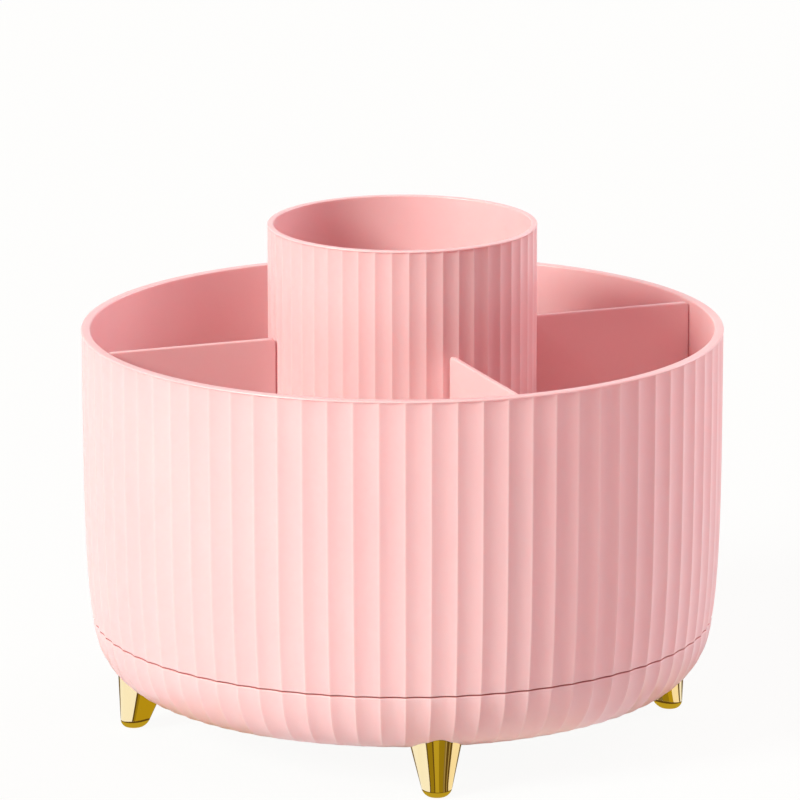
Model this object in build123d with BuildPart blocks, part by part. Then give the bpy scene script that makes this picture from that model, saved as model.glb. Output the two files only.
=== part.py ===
from build123d import *
import os
from math import asin, cos, degrees, radians, sin

# Rotating makeup organizer: a fluted tub with a tall centre cup turns on a fluted bowl with four feet.
# Millimetres, +Z up. The origin is the centre of the plane that the feet rest on.
# The front faces -Y. Azimuths are in degrees from the front, towards +X.

# Tub wall, from the seam up to the lip
rim_radius = 120.0
tub_height = 110.9
tub_wall = 3.4
tub_floor = 2.8
tub_inner_fillet = 3.0
wall_draft = 0.75
bottom_turn_in = 2.42
bottom_turn_in_power = 6
wall_steps = 6
lip_band = 0.9
lip_round = 0.6
lip_overhang = 0.15
flute_count = 80
flute_depth = 0.6
flute_azimuth = 0.5
edge_chamfer = 0.4
tub_steps = 5

# Bowl under the tub, and the lip of the tub that closes the view through the seam
bowl_height = 23.9
bowl_bottom_radius = 96.0
bowl_wall = 3.4
bowl_floor = 3.0
bowl_start_angle = 5.0
bowl_steps = 7
seam_gap = 0.4
skirt_depth = 3.5
skirt_wall = 1.6
skirt_clearance = 0.8
seat_wall = 2.4
seat_rib_count = 16
seat_rib_width = 1.6

# Feet
foot_height = 17.75
foot_names = ("foot_front", "foot_right", "foot_rear", "foot_left")
foot_azimuth = 7.0
foot_overhang_share = 0.578
foot_bottom_width = 9.8
foot_bottom_depth = 9.5
foot_top_width = 22.2
foot_top_depth = 22.2
foot_blank_rise = 8.0
foot_bottom_inset = 1.0
foot_round = 3.0
foot_screw_radius = 1.75
foot_screw_bite = 8.0
foot_screw_head_radius = 3.4
foot_screw_head_height = 2.2
foot_screw_head_clearance = 0.9
foot_screw_spare_depth = 1.0
foot_boss_radius = 5.0
foot_boss_height = 3.0
screw_clearance = 0.05

# Ball bearing between bowl and tub
ball_radius = 3.0
ball_count = 20
ball_pitch_radius = 75.0
ball_clearance = 0.03
groove_radius = 3.1
groove_depth = 1.0
race_thickness = 3.2
race_inner_width = 7.0
race_outer_width = 13.0
race_pad_height = 2.0
race_screw_count = 4
race_screw_offset = 8.2
race_screw_azimuth = 45.0
race_screw_radius = 1.5
race_screw_head_radius = 2.8
race_screw_head_depth = 1.4
race_screw_slot_depth = 0.55
race_screw_boss_radius = 3.6
race_screw_spare_depth = 1.0
lower_race_screw_length = 8.0
upper_race_screw_length = 7.0
cage_thickness = 2.0
cage_width = 10.0
pocket_clearance = 0.1

# Pivot in the middle
pin_radius = 5.0
pin_flange_width = 4.0
pin_flange_height = 2.0
pin_flange_inset = 0.5
pin_bush_clearance = 0.05
bush_wall = 3.0
bush_flange_width = 2.95
bush_flange_height = 1.2
base_boss_wall = 3.0
hub_wall = 4.95
hub_height = 2.3
running_gap = 0.3
washer_gap = 0.2
washer_overlap = 1.95
washer_height = 1.2
pivot_screw_radius = 2.0
pivot_screw_length = 9.0
pivot_screw_head_radius = 4.2
pivot_screw_head_height = 2.6
pivot_screw_spare_depth = 1.0
drive_slot_length_share = 0.75
drive_slot_width = 1.0
drive_slot_depth = 1.1
cap_wall = 1.4
cap_clearance = 0.3

# Centre cup
cup_radius = 50.3
cup_rise = 39.25
cup_wall = 2.4
cup_floor = 2.8
cup_inner_fillet = 3.0
cup_flute_count = 50
cup_flute_depth = 0.45
cup_flute_azimuth = 2.84
cup_lip_band = 0.8
cup_lip_round = 0.55
cup_lip_overhang = 0.1
cup_clearance = 0.3
spigot_wall = 2.0
spigot_height = 6.0
key_count = 2
key_azimuth = 66.0
key_width = 4.0
key_reach = 1.0
seat_gap = 0.1

# Dividers and their guides
divider_names = ("divider_front_right", "divider_rear_right", "divider_rear_left", "divider_front_left")
divider_azimuth = 21.0
divider_thickness = 2.0
divider_drop = 0.6
divider_corner_round = 2.0
divider_edge_round = 0.6
divider_clearance = 0.3
guide_rib_width = 1.6
guide_rib_reach = 3.0
guide_rib_drop = 30.0
guide_root = 0.6
channel_height = 3.0
channel_inset = 1.5

# Levels and radii that follow from the sizes above
underside_z = foot_height
seam_z = underside_z + bowl_height
bowl_top_z = seam_z - seam_gap / 2
tub_bottom_z = seam_z + seam_gap / 2
tub_floor_z = tub_bottom_z + tub_floor
rim_z = seam_z + tub_height
flute_top_z = rim_z - lip_band
cup_bottom_z = tub_floor_z + seat_gap
cup_top_z = rim_z + cup_rise
cup_flute_top_z = cup_top_z - cup_lip_band
race_inner_radius = ball_pitch_radius - race_inner_width
race_outer_radius = ball_pitch_radius + race_outer_width
race_screw_circle_radius = ball_pitch_radius + race_screw_offset
race_gap = 2 * (ball_radius + ball_clearance - groove_depth)
upper_race_top_z = tub_bottom_z - race_pad_height
upper_race_z = upper_race_top_z - race_thickness
ball_z = upper_race_z - race_gap / 2
lower_race_top_z = upper_race_z - race_gap
seat_z = lower_race_top_z - race_thickness
inner_floor_z = underside_z + bowl_floor
foot_blank_height = foot_height + foot_blank_rise
base_boss_top_z = tub_bottom_z - bush_flange_height - running_gap
pin_bottom_z = underside_z + pin_flange_inset
pin_flange_radius = pin_radius + pin_flange_width
base_boss_radius = pin_flange_radius + base_boss_wall
bush_inner_radius = pin_radius + pin_bush_clearance
bush_outer_radius = bush_inner_radius + bush_wall
bush_flange_radius = bush_outer_radius + bush_flange_width
hub_radius = bush_outer_radius + hub_wall
washer_radius = bush_outer_radius + washer_overlap
hub_top_z = tub_floor_z + hub_height
pin_top_z = hub_top_z + washer_gap
washer_top_z = pin_top_z + washer_height
pivot_head_top_z = washer_top_z + pivot_screw_head_height
cap_inner_radius = hub_radius + cap_clearance
cap_inner_top_z = pivot_head_top_z + running_gap + cap_clearance
cap_top_z = cap_inner_top_z + cap_wall
cup_floor_z = cap_top_z + running_gap
cup_inner_radius = cup_radius - cup_wall
spigot_outer_radius = cup_inner_radius - cup_clearance
foot_step = 360 / len(foot_names)
divider_step = 360 / len(divider_names)
overcut = 5.0


def direction(azimuth):
    """Unit vector pointing outwards at an azimuth."""
    return Vector(sin(radians(azimuth)), -cos(radians(azimuth)), 0)


def level_plane(azimuth, z):
    """Horizontal plane at height z with its x axis pointing outwards at an azimuth."""
    return Plane(origin=(0, 0, z), x_dir=direction(azimuth), z_dir=(0, 0, 1))


def upright_plane(azimuth):
    """Vertical plane through the axis: x is the radius at an azimuth, y is the height."""
    outwards = direction(azimuth)
    return Plane(origin=(0, 0, 0), x_dir=outwards, z_dir=outwards.cross(Vector(0, 0, 1)))


def barrel_radius(z):
    """Ridge radius of the tub at height z: almost upright above, turning in towards the seam."""
    depth = (rim_z - z) / tub_height
    return rim_radius - lip_overhang - wall_draft * depth**2 - bottom_turn_in * depth**bottom_turn_in_power


def barrel_line(inset, z_low, z_high):
    """Points on the tub's inner wall, moved inwards by inset, from z_low up to z_high."""
    heights = [z_low + (z_high - z_low) * step / wall_steps for step in range(wall_steps + 1)]
    return [(barrel_radius(z) - tub_wall - inset, z) for z in heights]


def scalloped_ring(radius, count, depth, azimuth):
    """Edges of a ring of concave arcs that meet in ridges on the given radius."""
    pitch = 360 / count
    start = direction(azimuth) * radius
    middle = direction(azimuth + pitch / 2) * (radius - depth)
    end = direction(azimuth + pitch) * radius
    arc = ThreePointArc(start, middle, end)
    return Wire([place * arc for place in PolarLocations(0, count)]).edges()


def fluted_body(outline, ruled=False):
    """Solid through scalloped sections; outline lists (ridge radius, height) pairs."""
    sections = []
    for radius, z in outline:
        depth = flute_depth * radius / rim_radius
        sections.append((scalloped_ring(radius, flute_count, depth, flute_azimuth), z))
    with BuildPart() as body:
        for ring, z in sections:
            with BuildSketch(Plane.XY.offset(z)):
                make_face(ring)
        loft(ruled=ruled)
    return body.part


# The bowl's outline is part of an ellipse that starts near upright at the seam and ends flat underneath
seam_radius = barrel_radius(seam_z)
ellipse_height = bowl_height / (1 - sin(radians(bowl_start_angle)))
ellipse_width = (seam_radius - bowl_bottom_radius) / cos(radians(bowl_start_angle))
ellipse_z = underside_z + ellipse_height


def bowl_point(angle):
    """Radius and height on the bowl's outline; 90 degrees is its flat underside."""
    radius = bowl_bottom_radius + ellipse_width * cos(radians(angle))
    return radius, ellipse_z - ellipse_height * sin(radians(angle))


# Outer form of the bowl: sections down to the underside, and a small chamfer at the seam
chamfer_z = bowl_top_z - edge_chamfer
chamfer_angle = degrees(asin((ellipse_z - chamfer_z) / ellipse_height))
bowl_curve = [bowl_point(90 - (90 - chamfer_angle) * step / bowl_steps) for step in range(bowl_steps + 1)]
bowl_chamfer_radius, _ = bowl_curve[-1]
bowl_chamfer = [(bowl_chamfer_radius, chamfer_z), (bowl_chamfer_radius - edge_chamfer, bowl_top_z)]

with BuildPart() as bowl_form:
    add(fluted_body(bowl_curve))
    add(fluted_body(bowl_chamfer, ruled=True), clean=False)


# Hollow of the bowl, around everything that stands on its floor, with the pin's bore and the pilot holes
foot_outer_radius = bowl_bottom_radius + foot_overhang_share * ellipse_width
inner_width = ellipse_width - bowl_wall
inner_height = ellipse_height - bowl_floor
inner_start_z = ellipse_z - inner_height * sin(radians(bowl_start_angle))
bowl_inner_top = bowl_bottom_radius + inner_width * cos(radians(bowl_start_angle))
foot_bottom_centre_radius = foot_outer_radius - foot_bottom_inset - foot_bottom_depth / 2
foot_boss_top_z = inner_floor_z + foot_boss_height
boss_level_angle = asin((ellipse_z - foot_boss_top_z) / inner_height)
inner_wall_radius = bowl_bottom_radius + inner_width * cos(boss_level_angle)
screw_circle_radius = inner_wall_radius - foot_screw_head_radius - foot_screw_head_clearance
foot_screw_length = foot_boss_top_z - underside_z + foot_screw_bite
seat_rib_radius = (race_inner_radius + race_outer_radius) / 2
seat_rib_length = race_outer_radius - race_inner_radius - seat_wall

with BuildPart() as bowl_hollow:
    with BuildSketch(Plane.XZ):
        with BuildLine():
            Polyline(
                (bowl_bottom_radius, inner_floor_z),
                (0, inner_floor_z),
                (0, bowl_top_z + overcut),
                (bowl_inner_top, bowl_top_z + overcut),
                (bowl_inner_top, inner_start_z),
            )
            EllipticalCenterArc(
                (bowl_bottom_radius, ellipse_z),
                inner_width,
                inner_height,
                start_angle=-90,
                arc_size=90 - bowl_start_angle,
            )
        make_face()
    revolve(axis=Axis.Z)
    # seat of the lower race: two ring walls, joined by ribs, and bosses for the race's screws
    with BuildSketch(Plane.XY.offset(inner_floor_z)):
        Circle(race_outer_radius)
        Circle(race_outer_radius - seat_wall, mode=Mode.SUBTRACT)
        Circle(race_inner_radius + seat_wall)
        Circle(race_inner_radius, mode=Mode.SUBTRACT)
        with PolarLocations(seat_rib_radius, seat_rib_count):
            Rectangle(seat_rib_length, seat_rib_width)
        with PolarLocations(race_screw_circle_radius, race_screw_count, race_screw_azimuth):
            Circle(race_screw_boss_radius)
    extrude(amount=seat_z - inner_floor_z, mode=Mode.SUBTRACT)
    with BuildSketch(Plane.XY.offset(inner_floor_z)):
        Circle(base_boss_radius)
    extrude(amount=base_boss_top_z - inner_floor_z, mode=Mode.SUBTRACT)
    with BuildSketch(level_plane(foot_azimuth, inner_floor_z)):
        with PolarLocations(screw_circle_radius, len(foot_names)):
            Circle(foot_boss_radius)
    extrude(amount=foot_boss_height, mode=Mode.SUBTRACT)
    # holes
    with BuildSketch(Plane.XY.offset(underside_z - overcut)):
        Circle(pin_radius + screw_clearance)
    extrude(amount=base_boss_top_z - underside_z + 2 * overcut)
    with BuildSketch(Plane.XY.offset(pin_bottom_z + pin_flange_height)):
        Circle(pin_flange_radius + screw_clearance)
    extrude(amount=-(pin_flange_height + pin_flange_inset + overcut))
    with BuildSketch(level_plane(foot_azimuth, underside_z - overcut)):
        with PolarLocations(screw_circle_radius, len(foot_names)):
            Circle(foot_screw_radius + screw_clearance)
    extrude(amount=foot_boss_top_z - underside_z + 2 * overcut)
    with BuildSketch(Plane.XY.offset(seat_z + overcut)):
        with PolarLocations(race_screw_circle_radius, race_screw_count, race_screw_azimuth):
            Circle(race_screw_radius + screw_clearance)
    extrude(amount=-(overcut + lower_race_screw_length - race_thickness + race_screw_spare_depth))

with BuildPart() as base_bowl:
    add(bowl_form.part)
    add(bowl_hollow.part, mode=Mode.SUBTRACT, clean=False)


def make_foot(azimuth):
    """Tapered foot, upright on its outer side, cut off above by the bowl's fluted underside."""
    top_centre = foot_outer_radius - foot_top_depth / 2
    with BuildPart() as foot:
        with BuildSketch(level_plane(azimuth, 0)):
            with Locations((foot_bottom_centre_radius, 0)):
                Ellipse(foot_bottom_depth / 2, foot_bottom_width / 2)
        with BuildSketch(level_plane(azimuth, foot_blank_height)):
            with Locations((top_centre, 0)):
                Ellipse(foot_top_depth / 2, foot_top_width / 2)
        loft()
        fillet(foot.edges().sort_by(Axis.Z)[0], foot_round)
        add(bowl_form.part, mode=Mode.SUBTRACT)
        with BuildSketch(level_plane(azimuth, foot_boss_top_z)):
            with Locations((screw_circle_radius, 0)):
                Circle(foot_screw_radius + screw_clearance)
        extrude(amount=-(foot_screw_length + foot_screw_spare_depth), mode=Mode.SUBTRACT)
    return foot.part


def drive_slot(plane, head_radius, centre_radius=0.0):
    """Straight screwdriver slot below a plane, across most of the screw's head."""
    with BuildPart() as slot:
        with BuildSketch(plane):
            with Locations((centre_radius, 0)):
                Rectangle(2 * head_radius * drive_slot_length_share, drive_slot_width)
        extrude(amount=-drive_slot_depth)
    return slot.part


# Screws from inside the bowl into the feet
with BuildPart() as foot_screws:
    for index in range(len(foot_names)):
        azimuth = foot_azimuth + index * foot_step
        with BuildSketch(level_plane(azimuth, foot_boss_top_z)):
            with Locations((screw_circle_radius, 0)):
                Circle(foot_screw_radius)
        extrude(amount=-foot_screw_length)
        with BuildSketch(level_plane(azimuth, foot_boss_top_z)):
            with Locations((screw_circle_radius, 0)):
                Circle(foot_screw_head_radius)
        extrude(amount=foot_screw_head_height)
        head_plane = level_plane(azimuth, foot_boss_top_z + foot_screw_head_height)
        add(drive_slot(head_plane, foot_screw_head_radius, screw_circle_radius), mode=Mode.SUBTRACT)


def make_race(bottom_z, groove_z, screw_face_z, screw_side):
    """Bearing ring with a ball groove; its screws enter from above if screw_side is 1, else from below."""
    with BuildPart() as race:
        with BuildSketch(Plane.XY.offset(bottom_z)):
            Circle(race_outer_radius)
            Circle(race_inner_radius, mode=Mode.SUBTRACT)
        extrude(amount=race_thickness)
        with BuildSketch(Plane.XZ):
            with Locations((ball_pitch_radius, groove_z)):
                Circle(groove_radius)
        revolve(axis=Axis.Z, mode=Mode.SUBTRACT)
        screw_plane = Plane(origin=(0, 0, screw_face_z), x_dir=(1, 0, 0), z_dir=(0, 0, screw_side))
        with Locations(screw_plane):
            with PolarLocations(race_screw_circle_radius, race_screw_count, screw_side * race_screw_azimuth):
                CounterSinkHole(
                    race_screw_radius + screw_clearance,
                    race_screw_head_radius + screw_clearance,
                    depth=race_thickness,
                )
    return race.part


def make_race_screws(face_z, length, screw_side):
    """Countersunk screws that hold a race, flush with its face."""
    slot_length = 2 * race_screw_head_radius * drive_slot_length_share
    face_plane = Plane(origin=(0, 0, face_z), x_dir=(1, 0, 0), z_dir=(0, 0, screw_side))
    with BuildPart() as screws:
        with Locations(face_plane):
            with PolarLocations(race_screw_circle_radius, race_screw_count, screw_side * race_screw_azimuth):
                with Locations((0, 0, -race_screw_head_depth / 2)):
                    Cone(race_screw_radius, race_screw_head_radius, race_screw_head_depth)
                with Locations((0, 0, -length / 2)):
                    Cylinder(race_screw_radius, length)
                Box(slot_length, drive_slot_width, race_screw_slot_depth * 2, mode=Mode.SUBTRACT)
    return screws.part


# Ball cage, with a pocket for each ball
with BuildPart() as ball_cage:
    with BuildSketch(Plane.XY.offset(ball_z - cage_thickness / 2)):
        Circle(ball_pitch_radius + cage_width / 2)
        Circle(ball_pitch_radius - cage_width / 2, mode=Mode.SUBTRACT)
        with PolarLocations(ball_pitch_radius, ball_count):
            Circle(ball_radius + pocket_clearance, mode=Mode.SUBTRACT)
    extrude(amount=cage_thickness)

# Bearing balls
with BuildPart(Plane.XY.offset(ball_z)) as bearing_balls:
    with PolarLocations(ball_pitch_radius, ball_count):
        Sphere(ball_radius)

# Pivot pin: flange below, tapped hole above
with BuildPart() as pivot_pin:
    with BuildSketch(Plane.XY.offset(pin_bottom_z)):
        Circle(pin_flange_radius)
    extrude(amount=pin_flange_height)
    with BuildSketch(Plane.XY.offset(pin_bottom_z)):
        Circle(pin_radius)
    extrude(amount=pin_top_z - pin_bottom_z)
    with BuildSketch(Plane.XY.offset(pin_top_z)):
        Circle(pivot_screw_radius + screw_clearance)
    extrude(amount=-(pivot_screw_length + pivot_screw_spare_depth), mode=Mode.SUBTRACT)

# Pivot bush: flange under the tub's floor, barrel through the hub
with BuildPart() as pivot_bush:
    with BuildSketch(Plane.XY.offset(tub_bottom_z - bush_flange_height)):
        Circle(bush_flange_radius)
    extrude(amount=bush_flange_height)
    with BuildSketch(Plane.XY.offset(tub_bottom_z)):
        Circle(bush_outer_radius)
    extrude(amount=hub_top_z - tub_bottom_z)
    with BuildSketch(Plane.XY.offset(tub_bottom_z - bush_flange_height)):
        Circle(bush_inner_radius)
    extrude(amount=hub_top_z - tub_bottom_z + bush_flange_height, mode=Mode.SUBTRACT)

# Pivot washer
with BuildPart() as pivot_washer:
    with BuildSketch(Plane.XY.offset(pin_top_z)):
        Circle(washer_radius)
        Circle(pivot_screw_radius + screw_clearance, mode=Mode.SUBTRACT)
    extrude(amount=washer_height)

# Pivot screw
with BuildPart() as pivot_screw:
    with BuildSketch(Plane.XY.offset(washer_top_z)):
        Circle(pivot_screw_radius)
    extrude(amount=-(washer_height + pivot_screw_length))
    with BuildSketch(Plane.XY.offset(washer_top_z)):
        Circle(pivot_screw_head_radius)
    extrude(amount=pivot_screw_head_height)
    add(drive_slot(Plane.XY.offset(pivot_head_top_z), pivot_screw_head_radius), mode=Mode.SUBTRACT)

# Hub cap over the pivot
with BuildPart() as hub_cap:
    with BuildSketch(Plane.XY.offset(tub_floor_z)):
        Circle(cap_inner_radius + cap_wall)
    extrude(amount=cap_top_z - tub_floor_z)
    fillet(hub_cap.faces().sort_by(Axis.Z)[-1].edges(), cap_wall)
    with BuildSketch(Plane.XY.offset(tub_floor_z)):
        Circle(cap_inner_radius)
    extrude(amount=cap_inner_top_z - tub_floor_z, mode=Mode.SUBTRACT)


# Tub: fluted wall, chamfered at the seam, with a plain rounded lip on top
tub_chamfer_z = tub_bottom_z + edge_chamfer
tub_step = (flute_top_z - tub_chamfer_z) / tub_steps
tub_heights = [tub_chamfer_z + index * tub_step for index in range(tub_steps + 1)]
tub_curve = [(barrel_radius(z), z) for z in tub_heights]
tub_chamfer_radius, _ = tub_curve[0]
tub_chamfer = [(tub_chamfer_radius - edge_chamfer, tub_bottom_z), (tub_chamfer_radius, tub_chamfer_z)]
skirt_radius = bowl_inner_top - skirt_clearance
guide_top_z = rim_z - guide_rib_drop
channel_inner_radius = cup_radius + channel_inset
channel_outer_radius = barrel_radius(tub_floor_z) - tub_wall - guide_rib_reach
channel_length = channel_outer_radius - channel_inner_radius
channel_middle_radius = (channel_outer_radius + channel_inner_radius) / 2
guide_offset = divider_thickness / 2 + divider_clearance + guide_rib_width / 2

# Skirt that hangs inside the bowl, and the pad for the upper race
with BuildPart() as tub_underside:
    with BuildSketch(Plane.XY.offset(tub_bottom_z)):
        Circle(skirt_radius)
        Circle(skirt_radius - skirt_wall, mode=Mode.SUBTRACT)
    extrude(amount=-skirt_depth)
    with BuildSketch(Plane.XY.offset(tub_bottom_z)):
        Circle(race_outer_radius)
        Circle(race_inner_radius, mode=Mode.SUBTRACT)
    extrude(amount=-race_pad_height)

# Guide ribs on the wall and channels on the floor, in pairs, for the dividers
with BuildPart() as guides:
    for index in range(len(divider_names)):
        for side in (-1, 1):
            rib_plane = upright_plane(divider_azimuth + index * divider_step).offset(side * guide_offset)
            root_points = barrel_line(-guide_root, tub_floor_z - guide_root, guide_top_z)
            edge_points = barrel_line(guide_rib_reach, tub_floor_z - guide_root, guide_top_z)
            with BuildSketch(rib_plane):
                with BuildLine():
                    Spline(root_points)
                    Line(root_points[-1], edge_points[-1])
                    Spline(edge_points)
                    Line(edge_points[0], root_points[0])
                make_face()
                with Locations((channel_middle_radius, tub_floor_z + (channel_height - guide_root) / 2)):
                    Rectangle(channel_length, channel_height + guide_root)
            extrude(amount=guide_rib_width / 2, both=True)

# Hollow of the tub, around everything that stands on its floor, with the bore and the pilot holes
with BuildPart() as tub_hollow:
    with BuildSketch(Plane.XZ):
        with BuildLine():
            wall_points = barrel_line(0, tub_floor_z, rim_z)
            Spline(wall_points)
            Polyline(
                wall_points[-1],
                (wall_points[-1][0], rim_z + overcut),
                (0, rim_z + overcut),
                (0, tub_floor_z),
                wall_points[0],
            )
        make_face()
    revolve(axis=Axis.Z)
    fillet(tub_hollow.faces().sort_by(Axis.Z)[0].edges(), tub_inner_fillet)
    with BuildSketch(Plane.XY.offset(tub_floor_z)):
        Circle(hub_radius)
    extrude(amount=hub_height, mode=Mode.SUBTRACT)
    with BuildSketch(Plane.XY.offset(tub_floor_z)):
        Circle(spigot_outer_radius)
        Circle(spigot_outer_radius - spigot_wall, mode=Mode.SUBTRACT)
        with PolarLocations(spigot_outer_radius, key_count, key_azimuth - 90):
            Rectangle(2 * key_reach, key_width)
    extrude(amount=spigot_height, mode=Mode.SUBTRACT)
    add(guides.part, mode=Mode.SUBTRACT)
    with BuildSketch(Plane.XY.offset(tub_bottom_z - overcut)):
        Circle(bush_outer_radius + screw_clearance)
    extrude(amount=hub_top_z - tub_bottom_z + 2 * overcut)
    with BuildSketch(Plane.XY.offset(upper_race_top_z - overcut)):
        with PolarLocations(race_screw_circle_radius, race_screw_count, race_screw_azimuth):
            Circle(race_screw_radius + screw_clearance)
    extrude(amount=overcut + upper_race_screw_length - race_thickness)

with BuildPart() as tub:
    add(fluted_body(tub_curve))
    add(fluted_body(tub_chamfer, ruled=True), clean=False)
    with BuildSketch(Plane.XY.offset(flute_top_z)):
        Circle(rim_radius)
    extrude(amount=lip_band, clean=False)
    add(tub_underside.part, clean=False)
    add(tub_hollow.part, mode=Mode.SUBTRACT, clean=False)
    fillet(tub.faces().filter_by(Plane.XY).sort_by(Axis.Z)[-1].edges(), lip_round)


# Centre cup: fluted outside, plain rounded lip, raised floor over the hub cap, open skirt below
cup_ring = scalloped_ring(cup_radius - cup_lip_overhang, cup_flute_count, cup_flute_depth, cup_flute_azimuth)

with BuildPart() as cup_hollow:
    with BuildSketch(Plane.XY.offset(cup_floor_z + cup_floor)):
        Circle(cup_inner_radius)
    extrude(amount=cup_top_z - cup_floor_z - cup_floor)
    fillet(cup_hollow.faces().sort_by(Axis.Z)[0].edges(), cup_inner_fillet)
    with BuildSketch(Plane.XY.offset(cup_bottom_z)):
        Circle(cup_inner_radius)
    extrude(amount=cup_floor_z - cup_bottom_z)
    # notches over the spigot's keys
    with BuildSketch(Plane.XY.offset(cup_bottom_z)):
        with PolarLocations(cup_inner_radius, key_count, key_azimuth - 90):
            Rectangle(2 * key_reach, key_width + 2 * cup_clearance)
    extrude(amount=spigot_height + cup_clearance)

with BuildPart() as centre_cup:
    with BuildSketch(Plane.XY.offset(cup_bottom_z)):
        make_face(cup_ring)
    extrude(amount=cup_flute_top_z - cup_bottom_z)
    with BuildSketch(Plane.XY.offset(cup_flute_top_z)):
        Circle(cup_radius)
    extrude(amount=cup_lip_band)
    add(cup_hollow.part, mode=Mode.SUBTRACT)
    fillet(centre_cup.faces().sort_by(Axis.Z)[-1].edges(), cup_lip_round)


def make_divider(azimuth):
    """Flat plate from the cup to the wall, with rounded top corners and softened top edge."""
    inner_radius = cup_radius + divider_clearance
    bottom_z = tub_floor_z + seat_gap
    top_z = rim_z - divider_drop
    with BuildPart() as divider:
        with BuildSketch(upright_plane(azimuth)):
            with BuildLine():
                wall_points = barrel_line(divider_clearance, bottom_z + tub_inner_fillet, top_z)
                Spline(wall_points)
                Polyline(
                    wall_points[-1],
                    (inner_radius, top_z),
                    (inner_radius, bottom_z),
                    (wall_points[0][0] - tub_inner_fillet, bottom_z),
                    wall_points[0],
                )
            make_face()
        extrude(amount=divider_thickness / 2, both=True)
        top_face = divider.faces().sort_by(Axis.Z)[-1]
        short_edges = top_face.edges().sort_by(Edge.length)[:2]
        fillet(short_edges, divider_corner_round)
        long_edges = divider.faces().sort_by(Axis.Z)[-1].edges().sort_by(Edge.length)[-2:]
        fillet(long_edges, divider_edge_round)
    return divider.part


lower_groove_z = ball_z - ball_radius - ball_clearance + groove_radius
upper_groove_z = ball_z + ball_radius + ball_clearance - groove_radius
pieces = {
    "base_bowl": base_bowl.part,
    "foot_screws": foot_screws.part,
    "lower_race": make_race(seat_z, lower_groove_z, lower_race_top_z, 1),
    "lower_race_screws": make_race_screws(lower_race_top_z, lower_race_screw_length, 1),
    "ball_cage": ball_cage.part,
    "bearing_balls": bearing_balls.part,
    "upper_race": make_race(upper_race_z, upper_groove_z, upper_race_z, -1),
    "upper_race_screws": make_race_screws(upper_race_z, upper_race_screw_length, -1),
    "pivot_pin": pivot_pin.part,
    "pivot_bush": pivot_bush.part,
    "pivot_washer": pivot_washer.part,
    "pivot_screw": pivot_screw.part,
    "hub_cap": hub_cap.part,
    "tub": tub.part,
    "centre_cup": centre_cup.part,
}
for index, name in enumerate(foot_names):
    pieces[name] = make_foot(foot_azimuth + index * foot_step)
for index, name in enumerate(divider_names):
    pieces[name] = make_divider(divider_azimuth + index * divider_step)

os.makedirs("parts", exist_ok=True)
for name, piece in pieces.items():
    piece.label = name
    export_step(piece, "parts/" + name + ".step")
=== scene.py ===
import bpy
from math import acos, asin, atan2, cos, degrees, hypot, radians, sin, sqrt
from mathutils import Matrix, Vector


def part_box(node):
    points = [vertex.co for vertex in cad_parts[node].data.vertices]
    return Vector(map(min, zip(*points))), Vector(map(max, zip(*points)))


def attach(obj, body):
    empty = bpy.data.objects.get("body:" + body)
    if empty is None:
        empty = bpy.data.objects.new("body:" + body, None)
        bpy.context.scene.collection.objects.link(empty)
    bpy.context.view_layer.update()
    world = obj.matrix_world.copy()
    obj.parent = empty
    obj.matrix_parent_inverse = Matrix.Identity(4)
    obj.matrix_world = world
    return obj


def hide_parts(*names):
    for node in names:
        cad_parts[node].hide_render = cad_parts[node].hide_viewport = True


# Rotating makeup organizer: a fluted tub with a tall cup turns on a fluted bowl with gold feet.
# Metres. The front faces -Y. Azimuths are in degrees from the front, towards +X.

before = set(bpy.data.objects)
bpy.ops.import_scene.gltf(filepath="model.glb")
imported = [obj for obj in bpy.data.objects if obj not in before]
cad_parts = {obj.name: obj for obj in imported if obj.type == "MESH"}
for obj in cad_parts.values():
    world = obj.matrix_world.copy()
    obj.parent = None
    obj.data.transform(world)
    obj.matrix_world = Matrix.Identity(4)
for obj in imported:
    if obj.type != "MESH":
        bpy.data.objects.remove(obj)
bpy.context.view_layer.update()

MM = 0.001

# Sizes read from the frame
_, tub_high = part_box("tub")
bowl_low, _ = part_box("base_bowl")
cup_low, cup_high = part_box("centre_cup")
_, cap_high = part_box("hub_cap")
RIM_RADIUS = tub_high.x
RIM_Z = tub_high.z
CUP_RADIUS = cup_high.x
CUP_TOP_Z = cup_high.z
CUP_BOTTOM_Z = cup_low.z
UNDERSIDE_Z = bowl_low.z

# Tub
TUB_HEIGHT = 110.9 * MM
TUB_WALL = 3.4 * MM
TUB_FLOOR = 2.8 * MM
TUB_FILLET = 3.0 * MM
WALL_DRAFT = 0.75 * MM
BOTTOM_TURN_IN = 2.42 * MM
BOTTOM_TURN_IN_POWER = 6
LIP_ROUND = 0.6 * MM
LIP_OVERHANG = 0.15 * MM
FLUTE_COUNT = 80
FLUTE_DEPTH = 0.7 * MM
FLUTE_AZIMUTH = 0.5
FLUTE_RUN_OUT = 0.7 * MM
RIDGE_ROUND = 0.14 * MM
EDGE_ROUND = 0.4 * MM
SEAM_GAP = 0.4 * MM
# Reach of the painted shade above and below the seam
GROOVE_REACH = 0.55 * MM
SKIRT_DEPTH = 3.5 * MM
SKIRT_WALL = 1.6 * MM
SKIRT_CLEARANCE = 0.8 * MM
RACE_INNER = 68 * MM
RACE_OUTER = 88 * MM
RACE_PAD = 2.0 * MM
HUB_RADIUS = 13.0 * MM
HUB_HEIGHT = 2.3 * MM
HUB_BORE = 8.1 * MM

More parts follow.
